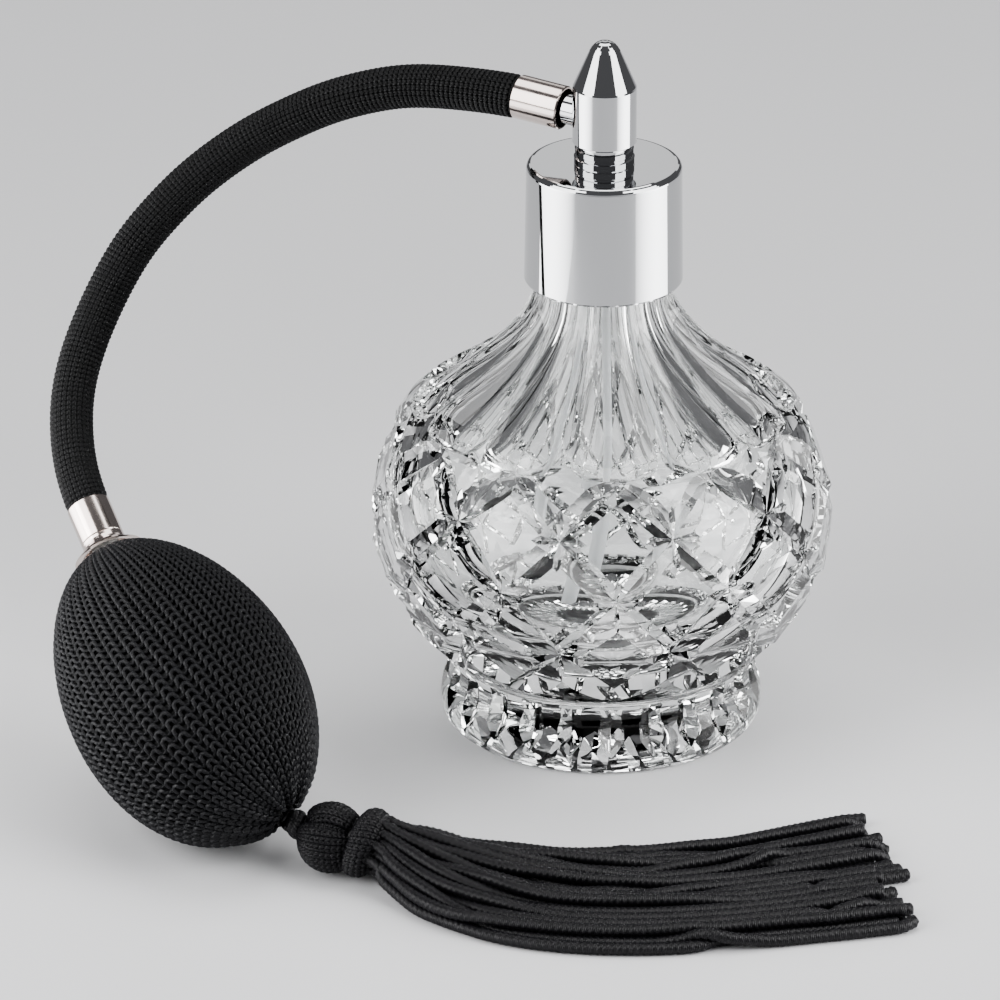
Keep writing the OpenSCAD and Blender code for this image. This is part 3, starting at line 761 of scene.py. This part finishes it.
def mitre(p, q, half, depth, over=0.0, lift=2.2, ends=0.0):
    """A V-shaped cut from p to q, each a (point, normal). It runs out to nothing over the last
    millimetres past each end, and its sides keep one slope."""
    (p0, n0), (p1, n1) = p, q
    along = unit(p1 - p0)
    slope = half / depth
    length = np.linalg.norm(p1 - p0)
    stations = [(-over / length, ends), (0.0, 1.0), (0.5, 1.0), (1.0, 1.0), (1 + over / length, ends)]
    sections = []
    for t, share in stations:
        n = unit(n0 * (1 - np.clip(t, 0, 1)) + n1 * np.clip(t, 0, 1))
        side = unit(np.cross(along, n))
        at = p0 + (p1 - p0) * t
        d = depth * share
        w = slope * (d + lift)
        sections.append(np.array([at - n * d, at + n * lift + side * w, at + n * lift - side * w]))
    return loft(sections)


def flat(p, size, sink, thick=4.0):
    """A slab whose underside is a plane a little below the surface at p."""
    at, n = p
    side = unit(np.cross(n, [0, 0, 1]))
    up = np.cross(side, n)
    ring = [at - n * sink + (side * math.cos(a) + up * math.sin(a)) * size
            for a in np.arange(8) * TAU / 8]
    ring = np.array(ring)
    return loft([ring, ring + n * thick])


def flute(a, bottom_z=55.2):
    """A concave channel down the shoulder, scooped out at its rounded lower end."""
    half_share, round_length, bluntness, lift = 0.485, 5.5, 2.4, 2.4
    path = spaced(OUTLINE[OUTLINE[:, 1] > bottom_z][::-1], 0.55)      # from the neck down
    s = arc_lengths(path)
    total = s[-1]
    out = facing(a)
    lateral = np.array([-out[1], out[0], 0])
    heading = tangents(path)
    sections = []
    for k, (r, z) in enumerate(path):
        n2 = np.array([-heading[k][1], heading[k][0]])
        n2 = n2 if n2[0] > 0 else -n2
        left = total - s[k]
        round_end = max(0.0, 1 - max(0.0, 1 - left / round_length) ** bluntness) ** (1 / bluntness)
        half = half_share * TAU * r / SECTORS * (0.12 + 0.88 * round_end)
        # the channel is a circle's arc, sunk below the round body's own bulge
        sag = half ** 2 / (2 * r / max(0.3, n2[0]))
        hollow = 0.7 + 1.6 * min(1, s[k] / total * 1.2)
        deep = hollow * min(1, left / 1.5) ** 0.7 * round_end ** 0.3 + 0.03
        rho = (half ** 2 + deep ** 2) / (2 * deep)
        centre = rho - (deep + sag)
        top_half = math.sqrt(max(0.1, rho ** 2 - (centre - lift) ** 2))
        top_half = min(top_half, half * 1.6 + 1)
        xs = np.linspace(-1, 1, 15) * half * 1.12
        base = [(x, centre - math.sqrt(max(0.0, rho ** 2 - x ** 2))) for x in xs]
        base = [(-top_half, lift), *base, (top_half, lift)]
        at = out * r + np.array([0, 0, z])
        normal = out * n2[0] + np.array([0, 0, n2[1]])
        sections.append(np.array([at + lateral * x + normal * h for x, h in base]))
    return loft(sections)


def cut(body, cutters, name):
    tool = cutters.object(name)
    modifier = body.modifiers.new("cut", "BOOLEAN")
    modifier.operation = "DIFFERENCE"
    modifier.solver = "MANIFOLD"
    modifier.object = tool
    depsgraph = bpy.context.evaluated_depsgraph_get()
    fresh = bpy.data.meshes.new_from_object(body.evaluated_get(depsgraph))
    body.modifiers.clear()
    before = len(body.data.polygons)
    body.data = fresh
    print(f"cut {name}: {before} -> {len(fresh.polygons)} faces")
    bpy.data.objects.remove(tool)


def glass_cuts():
    """The kinds of cut, each a function of the sector's angle that gives a tool's points and faces."""
    left, right = -STEP / 2, STEP / 2
    kinds = {}
    ribbon = dict(half=2.15, depth=1.65, over=1.3, ends=0.15)
    for side, name in ((left, "l"), (right, "r")):
        kinds[f"zigzag_{name}"] = lambda k, s=side: mitre(
            on_glass(PEAK_A + k, PEAK_Z), on_glass(PEAK_A + k + s, ROW_1), **ribbon)
        kinds[f"lattice_1_{name}"] = lambda k, s=side: mitre(
            on_glass(STAR_A + k, ROW_1), on_glass(STAR_A + k + s, ROW_2), **ribbon)
        kinds[f"lattice_2_{name}"] = lambda k, s=side: mitre(
            on_glass(PEAK_A + k, ROW_2), on_glass(PEAK_A + k + s, ROW_3), **ribbon)
        kinds[f"lattice_3_{name}"] = lambda k, s=side: mitre(
            on_glass(STAR_A + k, ROW_3), on_glass(STAR_A + k + s, LOW_Z), **ribbon)
    ray = dict(half=1.4, depth=1.7, over=3.3, ends=0.0)
    for row, (a, z) in enumerate(((STAR_A, ROW_1), (PEAK_A, ROW_2), (STAR_A, ROW_3))):
        reach = math.degrees(STAR_REACH / np.linalg.norm(on_glass(a, z)[0][:2]))
        kinds[f"across_{row}"] = lambda k, a=a, z=z, w=reach: mitre(
            on_glass(a + k - w, z), on_glass(a + k + w, z), **ray)
        kinds[f"upright_{row}"] = lambda k, a=a, z=z: mitre(
            on_glass(a + k, z - STAR_RISE), on_glass(a + k, z + STAR_RISE), **ray)
    flats = ((PEAK_A, 46.2, 9.5, 1.05), (STAR_A, 36.0, 10, 1.1), (PEAK_A, 25.2, 9, 0.95))
    for row, (a, z, size, sink) in enumerate(flats):
        kinds[f"flat_{row}"] = lambda k, a=a, z=z, size=size, sink=sink: flat(
            on_glass(a + k, z), size, sink)
    return kinds


def petal(a):
    """A leaf-shaped cut down the side of the foot."""
    return mitre(on_glass(a, 6.4), on_glass(a, 8.2), half=2.3, depth=1.25, over=4.2, ends=0.0, lift=0.9)


def sunburst(a):
    """A ray cut into the underside of the foot."""
    out = facing(a)
    down = np.array([0, 0, -1.0])
    return mitre((out * 12, down), (out * 20, down), half=2.2, depth=2.0, over=2.8, ends=0.0, lift=0.3)


def make_glass():
    sides = 192
    base = np.array([[0, 0.0], [6, 0.0], [14, 0.0], [21, 0.0]])
    outline = np.vstack([base, OUTLINE, neck_outline(), hollow_outline(), [[0, HOLLOW_Z - HOLLOW_LOW]]])
    points, faces = lathe(outline, sides)
    bottle = mesh_object("cut_glass_bottle", points, faces, GLASS)
    for name, kind in glass_cuts().items():
        cutters = Cutters()
        for k in range(SECTORS):
            cutters.add(*kind(k * STEP))
        cut(bottle, cutters, name)
    for half in (0, 1):
        cutters = Cutters()
        for k in range(half, SECTORS, 2):
            cutters.add(*flute(PEAK_A + k * STEP))
        cut(bottle, cutters, f"flutes_{half}")
        cutters = Cutters()
        for k in range(half, 2 * SECTORS, 2):
            cutters.add(*petal(PEAK_A + k * STEP / 2))
        cut(bottle, cutters, f"petals_{half}")
        cutters = Cutters()
        for k in range(half, 2 * SECTORS, 2):
            cutters.add(*sunburst(PEAK_A + (k + 0.5) * STEP / 2))
        cut(bottle, cutters, f"sunburst_{half}")
    bottle.data.shade_smooth()
    bottle.data.set_sharp_from_angle(angle=math.radians(8))
    if not bottle.data.materials:
        bottle.data.materials.append(GLASS)
    keep(bottle, "bottle", "glass", "glass_bottle")


make_glass()


# ---------------------------------------------------------------- knitted bulb
BULB_O = np.array([-0.069, -0.0392, 0.0223])
BULB_DIR = unit([0.44, -0.81, -0.385])
BULB_R, BULB_HALF, BULB_EGG = 19.5 * MM, 30.3 * MM, 0.09
TIE_O = np.array([-0.0504, -0.0582, 0.008])


def to_sphere(q):
    """The direction on a unit sphere that matches a point near the egg."""
    d = q - BULB_O
    along = d @ BULB_DIR / BULB_HALF
    across = (d - (d @ BULB_DIR) * BULB_DIR) / (BULB_R * (1 + BULB_EGG * along))
    return unit(across + along * BULB_DIR)


def egg_point(u, inset):
    """The egg's surface in direction u, an inset below it."""
    along = u @ BULB_DIR
    across = u - along[..., None] * BULB_DIR
    wide = BULB_R * (1 + BULB_EGG * along)
    p = BULB_O + across * wide[..., None] + (BULB_HALF * along)[..., None] * BULB_DIR
    # gradient of the matching ellipsoid, close enough to the egg's own normal
    n = unit(across / wide[..., None] + (along / BULB_HALF)[..., None] * BULB_DIR)
    return p - n * np.asarray(inset)[..., None]


NECK_POLE = to_sphere(CUP_O)
TAIL_POLE = to_sphere(TIE_O)
FOLDS, FOLD_DEPTH = 11, 0.75 * MM
GATHER_FROM, GATHER_SPAN = 0.70, 0.27       # levels over which the cover is gathered into folds
YARN_INSET, REST_Z = 0.62 * MM, 0.42 * MM   # of the yarn's middle: below the egg, and on the table


def bulb_surface(turn, level, out):
    """A point of the cover: level 0 is the neck's pole and 1 the tie, and turn goes round."""
    level = np.asarray(level, float) + 0 * turn
    axis = unit((1 - level)[:, None] * -NECK_POLE + level[:, None] * TAIL_POLE)
    e1 = unit(np.cross(axis, [0.2, 0.3, 1.0]))
    e2 = np.cross(axis, e1)
    polar = math.pi * level
    a = TAU * turn
    ring = around(a, e1, e2)
    u = -np.cos(polar)[:, None] * axis + np.sin(polar)[:, None] * ring
    gather = np.clip((level - GATHER_FROM) / GATHER_SPAN, 0, 1) ** 2
    fold = FOLD_DEPTH * gather * np.cos(FOLDS * a + 0.9 * np.sin(2 * a))
    fold = fold * np.clip(1.15 - gather * 0.3, 0, 1)
    p = egg_point(u, YARN_INSET - out - fold)
    p[:, 2] = np.maximum(p[:, 2], REST_Z)
    return p


def make_bulb():
    wales, courses, samples = 42, 50, 400
    first, last = 0.115, 0.945
    # rows are spaced evenly along the surface, so fewer levels pass where it is flatter
    fine = np.linspace(first, last, samples)
    line = bulb_surface(np.zeros(samples), fine, np.zeros(samples))
    levels = np.interp(np.linspace(0, arc_lengths(line)[-1], courses), arc_lengths(line), fine)
    cover = knit("bulb_knitted_cover", bulb_surface, wales, levels, 0.38 * MM, KNIT)
    points = cover.data.vertices
    co = np.empty(len(points) * 3, np.float32)
    points.foreach_get("co", co)
    co = co.reshape(-1, 3)
    co[:, 2] = np.maximum(co[:, 2], 0.03 * MM)
    points.foreach_set("co", co.ravel())
    keep(cover, "bulb", "knit", "bulb_cover")
    bladder = make_bladder()
    for piece in (cover, bladder):
        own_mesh(piece)


def make_bladder():
    """The rubber bulb under the knit: an egg-shaped shell, open where the metal cup holds its neck."""
    rings, sides, wall, under = 48, 72, 1.6 * MM, 0.55 * MM
    neck, tail = 0.1, 0.968             # the levels at which it starts and ends
    n = rings * sides
    turn = np.tile(np.arange(sides) / sides, rings)
    level = np.repeat(np.linspace(neck, tail, rings), sides)
    shells = [bulb_surface(turn, level, np.full(n, -under - deep)) for deep in (0, wall)]
    shells[0][:, 2] = np.maximum(shells[0][:, 2], 0.9 * MM)
    walls = grid_quads(rings, sides)
    faces = [walls, walls[:, ::-1] + n, *end_rims(rings, sides)]
    obj = mesh_object("rubber_bulb", np.vstack(shells), faces, RUBBER)
    return keep(obj, "bulb", "rubber", "bulb_bladder")


make_bulb()


# ---------------------------------------------------------------- tassel head
KNOT_HALF, KNOT_WIDE = 5.6 * MM, 5.75 * MM
KNOT_YARN = 0.33 * MM
CORE_DEPTH = 0.35 * MM              # how far the knot's yarn and the band's core lie below the outline
CREASE_DIR, CREASE_AT = unit([0.35, 0.55, 1.0]), 0.28
CREASE_WIDTH, CREASE_DEPTH = 0.17, 1.0 * MM


def knot_surface(turn, level, out):
    """A point of the knitted knot: a ball with one deep crease between its two folds."""
    up = np.array([0, 0, 1.0])
    side = np.cross(up, KNOT_DIR)
    level = np.asarray(level, float) + 0 * turn
    polar, a = math.pi * level, TAU * turn
    u = -np.cos(polar)[:, None] * KNOT_DIR + np.sin(polar)[:, None] * around(a, up, side)
    fold = u @ CREASE_DIR - CREASE_AT
    crease = CREASE_DEPTH * np.exp(-(fold / CREASE_WIDTH) ** 2)
    r = (KNOT_WIDE - CORE_DEPTH - crease + out)[:, None]
    stretch = (KNOT_HALF - KNOT_WIDE) * -np.cos(polar)
    return KNOT_O + r * u + stretch[:, None] * KNOT_DIR


def make_tassel_head():
    levels = np.linspace(0.10, 0.86, 15)
    head = knit("tassel_knitted_knot", knot_surface, 26, levels, KNOT_YARN, CORD)
    core = egg_core("tassel_knot_core", KNOT_O, KNOT_DIR, 4.1 * MM, 4.35 * MM)
    keep(head, "tassel", "cord", "tassel_head")
    keep(core, "tassel", "cord")


def egg_core(name, centre, axis, half_l, r):
    """The stuffing that shows dark between the stitches; its stem runs on under the band."""
    sides, stem = 40, 3.6 * MM
    polar = np.linspace(0.02, math.pi * 0.8, 24)
    outline = np.vstack([np.stack([r * np.sin(polar), -half_l * np.cos(polar)], 1),
                         [[stem, 4.4 * MM], [stem, BAND_MID]]])
    a = np.arange(sides) * TAU / sides
    e1 = unit(np.cross(axis, [0, 0, 1.0]))
    ring = around(a[None, :], e1, np.cross(axis, e1))
    points = centre + outline[:, 1][:, None, None] * axis + outline[:, 0][:, None, None] * ring
    points = np.vstack([points.reshape(-1, 3), [centre - half_l * axis], [centre + BAND_MID * axis]])
    faces = [grid_quads(len(outline), sides), *end_fans(len(outline), sides)]
    return mesh_object(name, points, faces, CORD)


def band_surface(turn, level, out):
    """A point of the knitted band round the cords: level goes round the band's own thickness."""
    up = np.array([0, 0, 1.0])
    side = np.cross(up, KNOT_DIR)
    a, b = TAU * turn, TAU * (level + 0 * turn)
    ring = around(a, up, side)
    thick = BAND_TUBE + out
    along = BAND_MID + BAND_TILT * np.cos(a) + thick * np.sin(b)
    return KNOT_O + (BAND_RING + thick * np.cos(b))[:, None] * ring + along[:, None] * KNOT_DIR


def make_wrap():
    """The knitted band round the cords, and the dark core that shows between its stitches."""
    wales, rows, steps, sides = 30, 15, 48, 20
    band = knit("tassel_wound_band", band_surface, wales, np.arange(rows) / rows, KNOT_YARN, CORD)
    a, b = np.meshgrid(np.arange(steps) / steps, np.arange(sides) / sides, indexing="ij")
    points = band_surface(a.ravel(), b.ravel(), -CORE_DEPTH)
    at = np.arange(steps * sides).reshape(steps, sides)
    ahead, beside = np.roll(at, -1, 0), np.roll(at, -1, 1)
    quads = np.stack([at, beside, np.roll(ahead, -1, 1), ahead], -1).reshape(-1, 4)
    uv = np.stack([b.ravel() * 14 * MM, a.ravel() * 30 * MM], 1)
    inner = mesh_object("tassel_band_core", points, [quads], CORD, uv)
    keep(band, "tassel", "cord", "tassel_wrap")
    keep(inner, "tassel", "cord")


def make_loop():
    """The short neck of cord from the bulb's gathered end to the knot: three strands twisted."""
    start = TIE_O - 0.4 * MM * unit([0.82, -0.32, -0.48])
    end = KNOT_O - 4.6 * MM * KNOT_DIR
    rise = np.array([0, 0, 1.0])
    lead, bow = 2 * MM * unit(end - start), 0.5 * MM * rise
    line = bezier(start, start + lead + bow, end - lead + bow, end, 40)
    u, v = carried_frames(line)
    t = np.linspace(0, 1, len(line))
    strands, strand_r, twist = 3, 1.1 * MM, 0.9
    relief = braid(cells=6, pitch=0.9 * MM, depth=0.12 * MM)
    points, quads, triangles, uv, count = [], [], [], [], 0
    for k in range(strands):
        path = spaced(line + strand_r * around(TAU * (k / strands + twist * t), u, v), 0.2 * MM)
        p, (q, c), w = tube(path, lambda a, along: strand_r + relief(a, along), 18)
        points.append(p)
        quads.append(q + count)
        triangles.append(c + count)
        uv.append(w)
        count += len(p)
    faces = [np.vstack(quads), np.vstack(triangles)]
    loop = mesh_object("tassel_hanging_cord", np.vstack(points), faces, CORD, np.vstack(uv))
    keep(loop, "tassel", "cord", "tassel_loop")


make_tassel_head()
make_wrap()
make_loop()
finish_cad_nodes()


# ---------------------------------------------------------------- floor and light
def make_floor():
    half = 3.0
    corners = [(-half, -half, 0), (half, -half, 0), (half, half, 0), (-half, half, 0)]
    floor = mesh_object("floor", corners, [np.array([[0, 1, 2, 3]])], None)
    m = Nodes("pale_floor", Roughness=0.4)
    where = m.place()
    m.vary("Base Color", m.noise(where, 3), (0.66, 0.66, 0.67), (0.70, 0.70, 0.71))
    floor.data.materials.append(m.material)


def area_light(name, place, target, width, height, power, spread=180):
    """A rectangular light that faces a target. Sizes in metres, power in watts, spread in degrees."""
    data = bpy.data.lights.new(name, "AREA")
    data.shape = "RECTANGLE"
    data.size, data.size_y = width, height
    data.energy = power
    data.spread = math.radians(spread)
    light = bpy.data.objects.new(name, data)
    light.location = place
    light.rotation_euler = (Vector(target) - Vector(place)).to_track_quat("-Z", "Y").to_euler()
    light.visible_camera = False
    bpy.context.scene.collection.objects.link(light)


def make_light():
    world = bpy.data.worlds.new("studio")
    bpy.context.scene.world = world
    world.use_nodes = True
    world.node_tree.nodes["Background"].inputs["Color"].default_value = (0.14, 0.14, 0.145, 1)
    world.node_tree.nodes["Background"].inputs["Strength"].default_value = 1.0
    aim = (0, 0, 0.05)
    area_light("left_softbox", (-0.75, -0.35, 0.55), aim, 0.72, 0.9, 8.5)
    area_light("right_softbox", (0.75, -0.35, 0.55), aim, 0.72, 0.9, 8.5)
    area_light("top_softbox", (0, 0.3, 1.1), aim, 0.9, 0.7, 6)
    # low strips beside the bottle, which the upright chrome mirrors as bright bands
    area_light("left_strip", (-0.175, -0.075, 0.05), (0, -0.075, 0.05), 0.24, 0.1, 0.14, 100)
    area_light("right_strip", (0.13, -0.053, 0.05), (0, -0.053, 0.05), 0.156, 0.1, 0.09, 100)
    # a wide panel behind, which the collar's flat top mirrors
    area_light("back_panel", (0, 1.2, 0.66), aim, 1.0, 0.36, 1.0)


make_floor()
make_light()
bpy.context.scene.view_settings.look = "AgX - Medium High Contrast"
